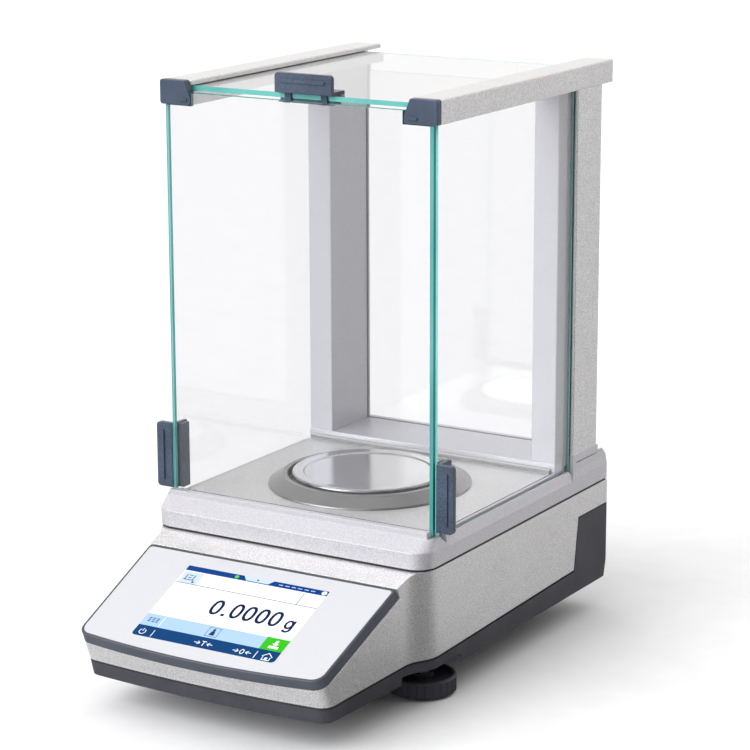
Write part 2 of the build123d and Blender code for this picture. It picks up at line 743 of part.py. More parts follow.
load_receptor = turned([
    (0, 104.3), (pin_r - 0.6, 104.3), (pin_r, 103.7), (pin_r, pan_hub_z - lift_gap),
    (9.5, pan_hub_z - lift_gap), (9.5, 100.2), (6.0, 97.5), (6.0, 79.0), (13.0, 79.0),
    (13.0, 76.0), (0, 76.0),
])
save(load_receptor, "load_receptor")

ring_foot_z = plate_top_z + lift_gap
draft_ring = turned([
    (ring_outer_r, ring_foot_z), (ring_outer_r - 0.3, ring_foot_z + 1.0), (51.5, 104.9),
    (50.6, ring_top_z), (ring_inner_r, ring_top_z), (ring_inner_r, ring_top_z - 1.2),
    (50.0, ring_top_z - 1.2), (57.0, ring_foot_z + 1.1), (57.0, ring_foot_z),
])
save(draft_ring, "draft_ring")

with BuildPart() as floor_plate:
    block((-plate_half, plate_half), (plate_front_y, 91.6), (plate_top_z - plate_t, plate_top_z))
    front_corners = floor_plate.edges().filter_by(Axis.Z).group_by(Axis.Y)[0]
    fillet(front_corners, radius=2.0)
    # rear edge turned up and rolled over
    block((-plate_half, plate_half), (91.0, 91.9), (plate_top_z - plate_t, ledge_z - lip_r))
    with Locations(Location((0, 92.0, ledge_z - lip_r - 0.1), (0, 90, 0))):
        Cylinder(lip_r, 2 * plate_half)
    rod(0, pan_y, (plate_top_z - 2, plate_top_z + 1), plate_hole_r, mode=Mode.SUBTRACT)
save(floor_plate.part, "floor_plate")

# ---------------------------------------------------------------- weighing cell and boards

with BuildPart() as cell_base:
    block((-34, 34), (-6, 120), (31, 35))
    block((-20, 20), (34, 74), (35, 42))
    for x, y in cell_screw_spots:
        rod(x, y, (30, 36), 2.6, mode=Mode.SUBTRACT)
    fillet(cell_base.edges().filter_by(Axis.Z).group_by(Axis.Y)[0], radius=4)
save(cell_base.part, "cell_base")

with BuildPart() as weigh_cell:
    block((-17, 17), (6, 80), (42, 76))
    # parallel guides: two thin beams above and below the lever, between four flexures
    block((-18, 18), (16, 70), (47, 50), mode=Mode.SUBTRACT)
    block((-18, 18), (16, 70), (68, 71), mode=Mode.SUBTRACT)
    for y in (16.0, 70.0):
        for z in (48.5, 69.5):
            with Locations(Location((0, y, z), (0, 90, 0))):
                Cylinder(3.2, 36, mode=Mode.SUBTRACT)
    # lever that reaches back to the coil
    block((-5, 5), (79, 112), (60, 66))
save(weigh_cell.part, "weigh_cell")

with BuildPart() as cell_magnet:
    rod(0, 102, (35, 57), 18)
    rod(0, 102, (52, 58), 14, mode=Mode.SUBTRACT)
    rod(0, 102, (52, 57), 7)
    fillet(cell_magnet.edges().group_by(Axis.Z)[0], radius=1)
save(cell_magnet.part, "cell_magnet")

with BuildPart() as lever_coil:
    rod(0, 102, (53.5, 60), 12)
    rod(0, 102, (53, 61), 9, mode=Mode.SUBTRACT)
    block((-5, 5), (90.5, 113.5), (58.5, 60))
save(lever_coil.part, "lever_coil")

with BuildPart() as cell_screws:
    for x, y in cell_screw_spots:
        rod(x, y, (24, 35), 2.45)
        rod(x, y, (35, 38.5), 4.2)
        rod(x, y, (36.5, 39), 1.9, mode=Mode.SUBTRACT)
save(cell_screws.part, "cell_screws")

with BuildPart() as main_board:
    block((-56, 56), (-128, -44), (29.5, 31.1))
    for x, y, w, d, h in ((-30, -100, 18, 18, 2.4), (8, -92, 24, 14, 3), (36, -70, 12, 16, 8),
                          (-36, -64, 20, 8, 9), (4, -62, 10, 10, 2)):
        block((x - w / 2, x + w / 2), (y - d / 2, y + d / 2), (31.1, 31.1 + h))
save(main_board.part, "main_board")

# the boards stand on pillars of their own, screwed to the base
with BuildPart() as board_pillars:
    for x in (-50.0, 50.0):
        for y in (-122.0, -92.0):
            rod(x, y, (floor_z, 29.5), 3.5)
    for x in (-70.0, 70.0):
        block((x - 3, x + 3), (128, 144), (floor_z, 27))
save(board_pillars.part, "board_pillars")

with BuildPart() as connector_board:
    block((-76, 76), (140.4, 142), (27, 62))
    block((-40, -20), (137, 140.4), (34, 44))
    block((20, 44), (136, 140.4), (40, 56))
save(connector_board.part, "connector_board")

connector_front_y = 142.0
connector_rear_y = body_rear_y - 0.8

with BuildPart() as serial_port:
    block((serial_x - 15.4, serial_x + 15.4), (body_rear_y - 3, connector_rear_y), (port_z - 6, port_z + 6))
    block((serial_x - 9.5, serial_x + 9.5), (connector_front_y, connector_rear_y + 2.6),
          (port_z - 4.6, port_z + 4.6))
    block((serial_x - 8.4, serial_x + 8.4), (body_rear_y - 4, frame_rear_y), (port_z - 3.6, port_z + 3.6),
          mode=Mode.SUBTRACT)
    # nine pins in two rows
    for row, count in ((-1.4, 4), (1.4, 5)):
        for index in range(count):
            with Locations(Location((serial_x + (index - (count - 1) / 2) * 2.77,
                                     body_rear_y - 1.5, port_z + row), (90, 0, 0))):
                Cylinder(0.5, 5.4)
    for x in (serial_x - 12.5, serial_x + 12.5):
        with Locations(Location((x, connector_rear_y + 0.6, port_z), (90, 0, 0))):
            Cylinder(2.4, 2.0)
save(serial_port.part, "serial_port")

with BuildPart() as usb_ports:
    block((usb_b_x - 6, usb_b_x + 6), (connector_front_y, connector_rear_y), (port_z - 5.5, port_z + 5.5))
    block((usb_b_x - 4.3, usb_b_x + 4.3), (body_rear_y - 10, body_rear_y + 1), (port_z - 4, port_z + 4),
          mode=Mode.SUBTRACT)
    block((usb_b_x - 2.8, usb_b_x + 2.8), (body_rear_y - 10.5, body_rear_y - 2),
          (port_z - 1.6, port_z + 1.6))
    block((usb_a_x - 7.2, usb_a_x + 7.2), (connector_front_y, connector_rear_y),
          (port_z - 3.6, port_z + 3.6))
    block((usb_a_x - 6.3, usb_a_x + 6.3), (body_rear_y - 11, body_rear_y + 1), (port_z - 2.6, port_z + 2.6),
          mode=Mode.SUBTRACT)
    block((usb_a_x - 5.5, usb_a_x + 5.5), (body_rear_y - 11.5, body_rear_y - 2), (port_z + 0.2, port_z + 2))
save(usb_ports.part, "usb_ports")

with BuildPart() as dc_inlet:
    block((inlet_x - 5, inlet_x + 5), (connector_front_y, connector_rear_y), (port_z - 5.5, port_z + 5.5))
    with Locations(Location((inlet_x, body_rear_y - 5, port_z), (90, 0, 0))):
        Cylinder(3.2, 10, mode=Mode.SUBTRACT)
    with Locations(Location((inlet_x, body_rear_y - 6, port_z), (90, 0, 0))):
        Cylinder(1.0, 8.4)
save(dc_inlet.part, "dc_inlet")

# ---------------------------------------------------------------- levelling feet

flute_r = 0.75

for side, hand in ((-1, "left"), (1, "right")):
    x = side * foot_x
    with BuildPart() as foot_pad:
        rod(x, foot_y, (0, wheel_bottom_z - gap), 13)
        rod(x, foot_y, (wheel_bottom_z - gap, 5), 2.0)
        chamfer(foot_pad.edges().group_by(Axis.Z)[0], length=0.4)
    save(foot_pad.part, f"{hand}_foot_pad")

    with BuildPart() as foot_wheel:
        rod(x, foot_y, (wheel_bottom_z, wheel_top_z), wheel_r)
        fillet(foot_wheel.edges().group_by(Axis.Z)[-1], radius=1.6)
        fillet(foot_wheel.edges().group_by(Axis.Z)[0], radius=1.0)
        with Locations((x, foot_y, 0)):
            with PolarLocations(wheel_r + 0.2, wheel_flutes):
                with Locations((0, 0, 5.6)):
                    Cylinder(flute_r, 8.4, mode=Mode.SUBTRACT)
        rod(x, foot_y, (wheel_top_z - 1.4, wheel_top_z + 1), wheel_r - 2.2, mode=Mode.SUBTRACT)
        rod(x, foot_y, (wheel_bottom_z + 1, wheel_top_z + 0.8), 6.5)
        rod(x, foot_y, (0, wheel_top_z + 2), stud_r + 0.05, mode=Mode.SUBTRACT)
    save(foot_wheel.part, f"{hand}_foot_wheel")

    with BuildPart() as foot_stud:
        rod(x, foot_y, (wheel_bottom_z, stud_top_z), stud_r)
        chamfer(foot_stud.edges().group_by(Axis.Z)[-1], length=0.8)
        rod(x, foot_y, (wheel_bottom_z - 1, 5.3), 2.06, mode=Mode.SUBTRACT)
    save(foot_stud.part, f"{hand}_foot_stud")
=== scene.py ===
"""Looks of an analytical balance: materials, screen graphics, light and camera.

Runs in Blender 4.5 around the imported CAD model. Lengths are in metres, apart from the
screen graphics, which are in millimetres on the panel. The front faces -Y.
"""

import json
import math

import bmesh
import bpy
from mathutils import Matrix, Vector


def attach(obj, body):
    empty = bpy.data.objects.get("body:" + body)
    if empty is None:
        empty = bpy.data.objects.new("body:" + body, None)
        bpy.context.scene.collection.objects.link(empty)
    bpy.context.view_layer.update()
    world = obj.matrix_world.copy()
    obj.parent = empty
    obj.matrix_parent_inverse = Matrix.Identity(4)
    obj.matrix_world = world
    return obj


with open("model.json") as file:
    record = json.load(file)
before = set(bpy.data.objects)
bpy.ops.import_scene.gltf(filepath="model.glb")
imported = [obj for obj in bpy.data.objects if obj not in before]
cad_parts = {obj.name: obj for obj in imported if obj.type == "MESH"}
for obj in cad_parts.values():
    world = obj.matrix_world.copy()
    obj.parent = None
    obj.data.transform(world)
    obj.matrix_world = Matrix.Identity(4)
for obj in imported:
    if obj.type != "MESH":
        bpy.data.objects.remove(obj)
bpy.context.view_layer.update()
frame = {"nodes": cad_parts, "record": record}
nodes = frame["nodes"]

MM = 0.001

# steel faces between these two values of the normal's upward part turn from painted shade to
# their own tone
STEEP_FACING = 0.55
LEVEL_FACING = 0.985
STEEP_SHADE = 0.30            # how dark the painted shade on steep faces is, against the steel's darker tone

# glass: the part of the normal across the pane, over which a face or a chamfer starts
PANE_FACING = 0.95
CHAMFER_FACING = 0.4

PAN_Y = 0.0242                # the pan's upright axis, on the middle plane
CIRCLES = 1300                # scale of the lathe circles on the turned steel

# ------------------------------------------------------------------ node helpers


class Graph:
    """The node tree of one material, with short calls for what the materials share."""

    def __init__(self, name):
        self.material = bpy.data.materials.new(name)
        self.material.use_nodes = True
        self.tree = self.material.node_tree
        self.tree.nodes.clear()
        self.output = self.tree.nodes.new("ShaderNodeOutputMaterial")
        self.coordinates = self.tree.nodes.new("ShaderNodeTexCoord")

    def node(self, kind, inputs=None, **settings):
        """A new node. Inputs are plain values, or sockets that get linked."""
        made = self.tree.nodes.new("ShaderNode" + kind)
        for key, value in settings.items():
            setattr(made, key, value)
        for key, value in (inputs or {}).items():
            if isinstance(value, bpy.types.NodeSocket):
                self.tree.links.new(value, made.inputs[key])
            else:
                made.inputs[key].default_value = value
        return made

    def place(self, stretch=(1, 1, 1), shift=(0, 0, 0)):
        """The object's own coordinates, stretched and shifted."""
        mapping = self.node("Mapping", {"Vector": self.coordinates.outputs["Object"],
                                        "Location": shift, "Scale": stretch})
        return mapping.outputs["Vector"]

    def noise(self, scale, detail=2.0, roughness=0.5, vector=None):
        """A number from 0 to 1 that varies over the surface, with scale cells per metre."""
        vector = vector or self.coordinates.outputs["Object"]
        made = self.node("TexNoise", {"Vector": vector, "Scale": scale, "Detail": detail,
                                      "Roughness": roughness})
        return made.outputs["Fac"]

    def ramp(self, factor, low, high, start=0.3, end=0.7):
        """A blend from colour low to colour high while factor goes from start to end."""
        made = self.node("ValToRGB", {"Fac": factor})
        made.color_ramp.elements[0].position = start
        made.color_ramp.elements[0].color = (*low, 1)
        made.color_ramp.elements[1].position = end
        made.color_ramp.elements[1].color = (*high, 1)
        return made.outputs["Color"]

    def spread(self, factor, low, high, start=0.3, end=0.7):
        """A number that goes from low to high while factor goes from start to end."""
        made = self.node("MapRange", {"Value": factor, "From Min": start, "From Max": end,
                                      "To Min": low, "To Max": high})
        return made.outputs["Result"]

    def math(self, operation, *values):
        """One arithmetic step on numbers or sockets."""
        made = self.node("Math", dict(enumerate(values)), operation=operation)
        return made.outputs[0]

    def mix_colour(self, factor, a, b):
        """A blend of two colours: a at factor 0 and b at factor 1."""
        made = self.node("Mix", data_type="RGBA")
        for index, value in ((0, factor), (6, a), (7, b)):
            if isinstance(value, bpy.types.NodeSocket):
                self.tree.links.new(value, made.inputs[index])
            else:
                made.inputs[index].default_value = value if index == 0 else (*value, 1)
        return made.outputs[2]

    def edge_normal(self, radius):
        """A normal that rounds the sharp edges of a CAD piece."""
        return self.node("Bevel", {"Radius": radius}, samples=4).outputs["Normal"]

    def facing(self, axis):
        """How far the surface looks along one of the object's axes, from -1 to 1."""
        normal = self.node("SeparateXYZ", {"Vector": self.coordinates.outputs["Normal"]})
        return normal.outputs["XYZ".index(axis)]

    def painted_shade_when_steep(self, colour, dark, share):
        """The colour, with a share of a much darker one painted as shade on faces that don't look
        up.
        """
        steep = self.spread(self.facing("Z"), share, 0.0, STEEP_FACING, LEVEL_FACING)
        return self.mix_colour(steep, colour, [STEEP_SHADE * level for level in dark])

    def bump(self, height, strength, distance, normal=None):
        """A normal bent by a height from 0 to 1, which stands for a distance in metres."""
        inputs = {"Height": height, "Strength": strength, "Distance": distance}
        if normal is not None:
            inputs["Normal"] = normal
        return self.node("Bump", inputs).outputs["Normal"]

    def surface(self, **inputs):
        """The main shader, linked to the output. Underscores stand for spaces."""
        named = {key.replace("_", " "): value for key, value in inputs.items()}
        shader = self.node("BsdfPrincipled", named)
        self.tree.links.new(shader.outputs["BSDF"], self.output.inputs["Surface"])
        return self.material


# ------------------------------------------------------------------ materials


def speckled_paint(name, dark, light, metallic, roughness):
    """Metallic powder coat: fine light and dark flakes over a slightly rough skin."""
    g = Graph(name)
    flakes = g.noise(1700, 2.0, 0.6)
    clouds = g.noise(60, 2.0)
    colour = g.mix_colour(g.spread(clouds, 0.0, 0.12), g.ramp(flakes, dark, light, 0.33, 0.67),
                          light)
    return g.surface(
        Base_Color=colour, Metallic=metallic,
        Roughness=g.spread(flakes, roughness - 0.06, roughness + 0.08),
        Normal=g.bump(flakes, 0.14, 0.00004, g.edge_normal(0.0006)),
    )


def moulded_plastic(name, dark, light, roughness, grain=2300):
    """Injection moulded plastic with a fine spark-eroded grain."""
    g = Graph(name)
    grain_height = g.noise(grain, 3.0, 0.6)
    clouds = g.noise(45, 3.0)
    mottle = g.math("ADD", g.math("MULTIPLY", grain_height, 0.7), g.math("MULTIPLY", clouds, 0.3))
    return g.surface(
        Base_Color=g.ramp(mottle, dark, light, 0.36, 0.64),
        Roughness=g.spread(grain_height, roughness - 0.07, roughness + 0.09),
        Specular_IOR_Level=0.38,
        Normal=g.bump(grain_height, 0.3, 0.00005, g.edge_normal(0.0004)),
    )


def grained_steel(name, dark, light, roughness):
    """Sheet steel with a short fine grain along Y, its turned-up edges darker by painted shade.
    """
    g = Graph(name)
    grain = g.noise(1500, 3.0, 0.7, g.place((1, 0.25, 1)))
    stain = g.noise(18, 3.0)
    flat_colour = g.mix_colour(g.spread(stain, 0.0, 0.35), g.ramp(grain, dark, light), light)
    return g.surface(
        # turned-up edges: painted shade, nine tenths of the way to the dark tone
        Base_Color=g.painted_shade_when_steep(flat_colour, dark, 0.9), Metallic=1.0,
        Roughness=g.spread(grain, roughness - 0.08, roughness + 0.1),
        Normal=g.bump(grain, 0.25, 0.00004, g.edge_normal(0.0003)),
    )


def turned_steel(name, dark, light, roughness, rim_painted_reflection=0.0):
    """Steel polished on a lathe: fine circles round the pan's upright axis.

    A share of painted dark reflection goes on the rolled edge, where the real one mirrors the
    dark room.
    """
    g = Graph(name)
    rings = g.node("TexWave", {"Vector": g.place(shift=(0, -PAN_Y, 0)), "Scale": CIRCLES,
                               "Distortion": 1.2, "Detail": 3.0, "Detail Scale": 2.0},
                   wave_type="RINGS", rings_direction="Z").outputs["Fac"]
    smear = g.noise(35, 3.0)
    polish = g.math("ADD", g.math("MULTIPLY", rings, 0.6), g.math("MULTIPLY", smear, 0.4))
    flat_colour = g.ramp(polish, dark, light, 0.2, 0.8)
    return g.surface(
        # faces that don't look up get the share of painted dark reflection
        Base_Color=g.painted_shade_when_steep(flat_colour, dark, rim_painted_reflection), Metallic=1.0,
        Roughness=g.spread(rings, roughness - 0.03, roughness + 0.05, 0.0, 1.0),
        Normal=g.bump(rings, 0.05, 0.00002, g.edge_normal(0.0003)),
    )


def milled_metal(name, dark, light, roughness):
    """Bare metal with tool lines that run along X."""
    g = Graph(name)
    lines = g.noise(700, 3.0, 0.6, g.place((0.05, 1, 1)))
    return g.surface(
        Base_Color=g.ramp(lines, dark, light), Metallic=1.0,
        Roughness=g.spread(lines, roughness - 0.07, roughness + 0.1),
        Normal=g.bump(lines, 0.2, 0.00005, g.edge_normal(0.0003)),
    )


def circuit_board(name):
    """Green solder mask with paler tracks."""
    g = Graph(name)
    tracks = g.node("TexBrick", {
        "Vector": g.place(), "Scale": 160.0, "Mortar Size": 0.035,
        "Color1": (0.012, 0.115, 0.045, 1), "Color2": (0.016, 0.135, 0.055, 1),
        "Mortar": (0.05, 0.26, 0.11, 1),
    }).outputs["Color"]
    speck = g.noise(1200, 2.0)
    specks = g.ramp(speck, (0.01, 0.09, 0.03), (0.05, 0.3, 0.12))
    return g.surface(
        Base_Color=g.mix_colour(0.15, tracks, specks),
        Roughness=g.spread(speck, 0.28, 0.42), Normal=g.bump(speck, 0.15, 0.00005),
    )


def clear_glass(name, thin_axis, low, high):
    """Float glass: clear through its two large faces, green along its edges, which glow with
    painted light and are paler on the chamfers as a painted highlight.

    Shadow rays pass the faces straight, so that the key light reaches what is inside.
    """
    g = Graph(name)
    across = g.math("ABSOLUTE", g.facing(thin_axis))
    on_face = g.math("GREATER_THAN", across, PANE_FACING)
    on_chamfer = g.math("GREATER_THAN", across, CHAMFER_FACING)

    pane = g.node("BsdfGlass", {"Color": (0.950, 0.951, 0.955, 1), "Roughness": 0.0, "IOR": 1.5})
    lit = g.node("BsdfTransparent", {"Color": (0.93, 0.935, 0.94, 1)})
    shadow = g.node("LightPath").outputs["Is Shadow Ray"]
    face = g.node("MixShader", {0: shadow, 1: pane.outputs["BSDF"], 2: lit.outputs["BSDF"]})

    depth = g.noise(11, 2.0)
    ground = g.noise(900, 3.0, 0.6, g.place((1, 1, 0.3)))
    deep = g.ramp(depth, low, high, 0.35, 0.65)
    # paler green on the chamfers: a painted highlight of the polished bevel
    pale = g.ramp(depth, (0.07, 0.37, 0.34), (0.15, 0.49, 0.46), 0.35, 0.65)
    colour = g.mix_colour(on_chamfer, deep, pale)
    # the edges' weak emission is a painted glow; the glass is no lamp
    edge = g.node("BsdfPrincipled", {
        "Base Color": colour, "Roughness": g.spread(ground, 0.12, 0.26), "Emission Color": colour,
        "Emission Strength": 0.12, "Normal": g.bump(ground, 0.12, 0.00004),
    })
    whole = g.node("MixShader", {0: on_face, 1: edge.outputs["BSDF"], 2: face.outputs["Shader"]})
    g.tree.links.new(whole.outputs["Shader"], g.output.inputs["Surface"])
    return g.material


def printed_panel(name):
    """White printed glass, a little uneven in its gloss."""
    g = Graph(name)
    print_grain = g.noise(1600, 2.0)
    haze = g.noise(22, 3.0)
    return g.surface(
        Base_Color=g.ramp(print_grain, (0.585, 0.59, 0.615), (0.625, 0.63, 0.655)),
        Roughness=g.spread(haze, 0.12, 0.22), Specular_IOR_Level=0.3,
        Normal=g.edge_normal(0.0004),
    )


def lit_ink(name, colour, glow):
    """A lit area of the screen: its colour with a faint grid of picture cells."""
    g = Graph(name)
    dimmer = [0.93 * level for level in colour]
    cells = g.node("TexChecker", {
        "Vector": g.place(), "Scale": 5200.0, "Color1": (*colour, 1), "Color2": (*dimmer, 1),
    }).outputs["Color"]
    return g.surface(
        Base_Color=cells, Roughness=0.16, Specular_IOR_Level=0.06, Emission_Color=cells,
        Emission_Strength=glow,
    )


# name, darkest and lightest colour, then how metallic it is, if the function asks for that,
# its roughness, and the scale of its grain or its share of painted dark reflection on the edge
painted_silver = speckled_paint(
    "painted_silver", (0.50, 0.492, 0.495), (0.96, 0.95, 0.95), 0.72, 0.42)
frame_paint = speckled_paint(
    "frame_paint", (0.46, 0.452, 0.476), (0.68, 0.67, 0.705), 0.50, 0.42)
column_paint = speckled_paint(
    "column_paint", (0.42, 0.412, 0.436), (0.63, 0.62, 0.652), 0.25, 0.42)
dark_plastic = moulded_plastic(
    "dark_plastic", (0.028, 0.028, 0.037), (0.062, 0.061, 0.077), 0.5)
bezel_plastic = moulded_plastic(
    "bezel_plastic", (0.046, 0.053, 0.069), (0.077, 0.088, 0.110), 0.45)
navy_plastic = moulded_plastic(
    "navy_plastic", (0.024, 0.037, 0.062), (0.068, 0.093, 0.142), 0.30)
black_plastic = moulded_plastic(
    "black_plastic", (0.018, 0.018, 0.020), (0.035, 0.035, 0.038), 0.5)
rubber = moulded_plastic("rubber", (0.020, 0.020, 0.022), (0.040, 0.040, 0.043), 0.75, 1400)
floor_steel = grained_steel("floor_steel", (0.56, 0.555, 0.55), (0.84, 0.83, 0.825), 0.46)
# the draft ring's steel is painted dark: a painted reflection of the dark room on its sloped face
ring_steel_painted_dark = turned_steel("ring_steel_painted_dark", (0.235, 0.231, 0.225), (0.315, 0.311, 0.305), 0.27)
# the pan's rolled edge gets a painted dark reflection, share 0.8
pan_steel = turned_steel("pan_steel", (0.62, 0.62, 0.63), (0.83, 0.83, 0.845), 0.15, 0.8)
steel = milled_metal("steel", (0.40, 0.40, 0.41), (0.60, 0.60, 0.61), 0.3)
aluminium = milled_metal("aluminium", (0.62, 0.63, 0.64), (0.80, 0.81, 0.82), 0.32)
brass = milled_metal("brass", (0.52, 0.36, 0.13), (0.72, 0.55, 0.26), 0.3)
copper = milled_metal("copper", (0.55, 0.20, 0.09), (0.80, 0.38, 0.22), 0.3)
board_green = circuit_board("board_green")
panel_glass = printed_panel("panel_glass")
# the edge greens per pane are partly the glass's own green and partly painted light and shade,
# set for how each pane's edges are lit
upright_glass = clear_glass("upright_glass", "Y", (0.006, 0.115, 0.105), (0.018, 0.20, 0.18))
side_glass = clear_glass("side_glass", "X", (0.13, 0.46, 0.44), (0.22, 0.57, 0.55))
flat_glass = clear_glass("flat_glass", "Z", (0.03, 0.27, 0.24), (0.18, 0.55, 0.51))

# the material for each material slot of the record, and the nodes that differ from their slot
FINISH = {
    "painted_silver": painted_silver, "frame_paint": frame_paint, "dark_plastic": dark_plastic,
    "bezel_plastic": bezel_plastic, "navy_plastic": navy_plastic, "panel_glass": panel_glass,
    "stainless": floor_steel, "polished_steel": pan_steel, "aluminium": aluminium,
    "circuit_board": board_green, "steel": steel, "brass": brass, "rubber": rubber,
    "black_plastic": black_plastic, "copper": copper, "clear_glass": upright_glass,
}
OWN_FINISH = {
    "left_column": column_paint, "right_column": column_paint, "draft_ring": ring_steel_painted_dark,
    "left_door_glass": side_glass, "right_door_glass": side_glass, "top_door_glass": flat_glass,
}


def paint(piece, material):
    """Gives a piece one material in place of those it has."""
    piece.data.materials.clear()
    piece.data.materials.append(material)


for part in frame["record"]["subparts"]:
    name = part["node"]
    paint(nodes[name], OWN_FINISH.get(name, FINISH[part["material_slot"]]))

# ------------------------------------------------------------------ screen graphics

# the panel's plane, as in the CAD source: its top edge, and its slope towards the front
PANEL_TOP = Vector((0, -0.0833, 0.0766))
PANEL_FRONT = Vector((0, -0.1571, 0.0460))
DOWN = (PANEL_FRONT - PANEL_TOP).normalized()
OUT = Vector((1, 0, 0)).cross(-DOWN)
GLASS_DEPTH = 0.0001          # the glass lies this far under the bezel's top
LAYER = 0.00002               # height of one lit layer over the glass


def on_panel(x_mm, down_mm, height):
    """A point on the panel: x, the distance down the slope, and the height over the glass."""
    return (PANEL_TOP + Vector((x_mm * MM, 0, 0)) + DOWN * (down_mm * MM)
            + OUT * (height - GLASS_DEPTH))


def solid_from(name, faces, layer, material):
    """A thin closed piece on the panel from flat faces given in (x, down) millimetres.

    It starts one layer under the glass and ends the given number of layers over it.
    """
    bm = bmesh.new()
    found = {}

    def vertex(point):
        key = (round(point[0], 4), round(point[1], 4))
        if key not in found:
            found[key] = bm.verts.new(on_panel(*key, -LAYER))
        return found[key]

    for face in faces:
        bm.faces.new([vertex(p) for p in face])
    made = bmesh.ops.extrude_face_region(bm, geom=bm.faces[:])
    raised = [v for v in made["geom"] if isinstance(v, bmesh.types.BMVert)]
    bmesh.ops.translate(bm, verts=raised, vec=OUT * (layer * LAYER + LAYER))
    bmesh.ops.recalc_face_normals(bm, faces=bm.faces[:])
    mesh = bpy.data.meshes.new(name)
    bm.to_mesh(mesh)
    bm.free()
    piece = bpy.data.objects.new(name, mesh)
    bpy.context.scene.collection.objects.link(piece)
    paint(piece, material)
    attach(piece, "root")


def rectangle(x0, down0, x1, down1):
    """One face between two opposite corners."""
    return [(x0, down0), (x1, down0), (x1, down1), (x0, down1)]


def arc(x, down, radius_x, radius_down, start, end, steps=28):
    """Points of an arc in degrees: 0 to the right, 90 towards the top of the screen."""
    angles = [math.radians(start + (end - start) * i / steps) for i in range(steps + 1)]
    return [(x + radius_x * math.cos(a), down - radius_down * math.sin(a)) for a in angles]


SHARPEST_MITRE = 0.35         # cosine that limits how far a corner reaches out


def line(points, width, closed=False):
    """Faces of a line of even width, with mitred corners."""
    count = len(points)
    left, right = [], []
    for i, (x, y) in enumerate(points):
        before = points[i - 1] if closed or i else None
        after = points[(i + 1) % count] if closed or i < count - 1 else None
        ways = []
        for a, b in ((before, (x, y)), ((x, y), after)):
            if a is not None and b is not None:
                length = math.hypot(b[0] - a[0], b[1] - a[1])
                ways.append(((b[0] - a[0]) / length, (b[1] - a[1]) / length))
        sideways = (-sum(w[1] for w in ways), sum(w[0] for w in ways))
        size = math.hypot(*sideways)
        nx, ny = sideways[0] / size, sideways[1] / size
        reach = width / 2 / max(SHARPEST_MITRE, nx * -ways[0][1] + ny * ways[0][0])
        left.append((x + nx * reach, y + ny * reach))
        right.append((x - nx * reach, y - ny * reach))
    last = count if closed else count - 1
    return [[left[i], left[(i + 1) % count], right[(i + 1) % count], right[i]]
            for i in range(last)]


def disc(x, down, radius, steps=28):
    """One round face."""
    return [arc(x, down, radius, radius, 0, 360, steps)[:-1]]


# the screen in mm on the panel: x to the right of its middle, and the distance down its slope
LEFT, TOP, RIGHT, BOTTOM = -47.5, 11.3, 46.0, 72.9
BAR_END = 15.4                # the dark bar at the top ends here
BAR_MIDDLE = 13.3
KEYS_TOP = 54.4               # the row of soft keys starts here
STRIP_TOP = 64.2              # the strip of fixed keys starts here
STRIP_MIDDLE = 69.1
GREEN_LEFT = 31.4             # the green key's left side
SCREEN_CORNER = 2.4
FINE, THIN, MEDIUM, WIDE = 0.35, 0.42, 0.45, 0.55     # widths of the symbols' lines
RULE = 0.5                    # width of the lines that part the field
MARK = 0.4                    # width of the short upright marks on the strip

white_area = lit_ink("screen_white", (0.80, 0.82, 0.85), 0.25)
bar_blue = lit_ink("screen_bar_blue", (0.0, 0.038, 0.20), 0.2)
strip_navy = lit_ink("screen_strip_navy", (0.0, 0.040, 0.145), 0.2)
key_blue = lit_ink("screen_key_blue", (0.36, 0.52, 0.74), 0.12)
key_green = lit_ink("screen_key_green", (0.030, 0.42, 0.008), 0.2)
pale_blue = lit_ink("screen_pale_blue", (0.50, 0.62, 0.78), 0.12)
grey_line = lit_ink("screen_grey_line", (0.10, 0.12, 0.16), 0.02)
digit_navy = lit_ink("screen_digit_navy", (0.003, 0.012, 0.060), 0.1)
icon_white = lit_ink("screen_icon_white", (0.80, 0.83, 0.86), 0.25)
dot_green = lit_ink("screen_dot_green", (0.08, 0.50, 0.03), 0.2)

# areas of the screen
solid_from("screen_field", [rectangle(LEFT, BAR_END, RIGHT, KEYS_TOP)], 1, white_area)
solid_from("screen_bar", [rectangle(LEFT, TOP, RIGHT, BAR_END)], 1, bar_blue)
solid_from("screen_keys", [rectangle(LEFT, KEYS_TOP, GREEN_LEFT, STRIP_TOP)], 1, key_blue)
green_area = rectangle(GREEN_LEFT, KEYS_TOP - 0.2, RIGHT, STRIP_TOP)
solid_from("screen_green_key", [green_area], 2, key_green)
strip = [(LEFT, STRIP_TOP), (RIGHT, STRIP_TOP)]
strip += arc(RIGHT - SCREEN_CORNER, BOTTOM - SCREEN_CORNER, SCREEN_CORNER, SCREEN_CORNER,
             0, -90, 8)
strip += arc(LEFT + SCREEN_CORNER, BOTTOM - SCREEN_CORNER, SCREEN_CORNER, SCREEN_CORNER,
             -90, -180, 8)
solid_from("screen_strip", [strip], 1, strip_navy)

# bar at the top: a pale tab, a green dot, a round button and dashes in place of small print
solid_from("screen_tab", [[(-10.0, TOP), (10.0, TOP), (7.4, 14.7), (-7.0, 14.7)]], 2, pale_blue)
solid_from("screen_tab_mark", [[(-1.1, 12.5), (1.1, 12.5), (0, 13.7)]], 3, digit_navy)
solid_from("screen_dot", disc(-13.9, BAR_MIDDLE, 1.35), 2, dot_green)
solid_from("screen_round_button", disc(43.7, BAR_MIDDLE, 1.6), 2, icon_white)
button_mark = [rectangle(43.5, 12.9, 43.9, 14.3), rectangle(43.5, 12.2, 43.9, 12.6)]
solid_from("screen_round_mark", button_mark, 3, bar_blue)
dashes = [rectangle(14.0 + 4.2 * i, 13.1, 16.8 + 4.2 * i, 13.6) for i in range(6)]
solid_from("screen_bar_dashes", dashes, 2, pale_blue)

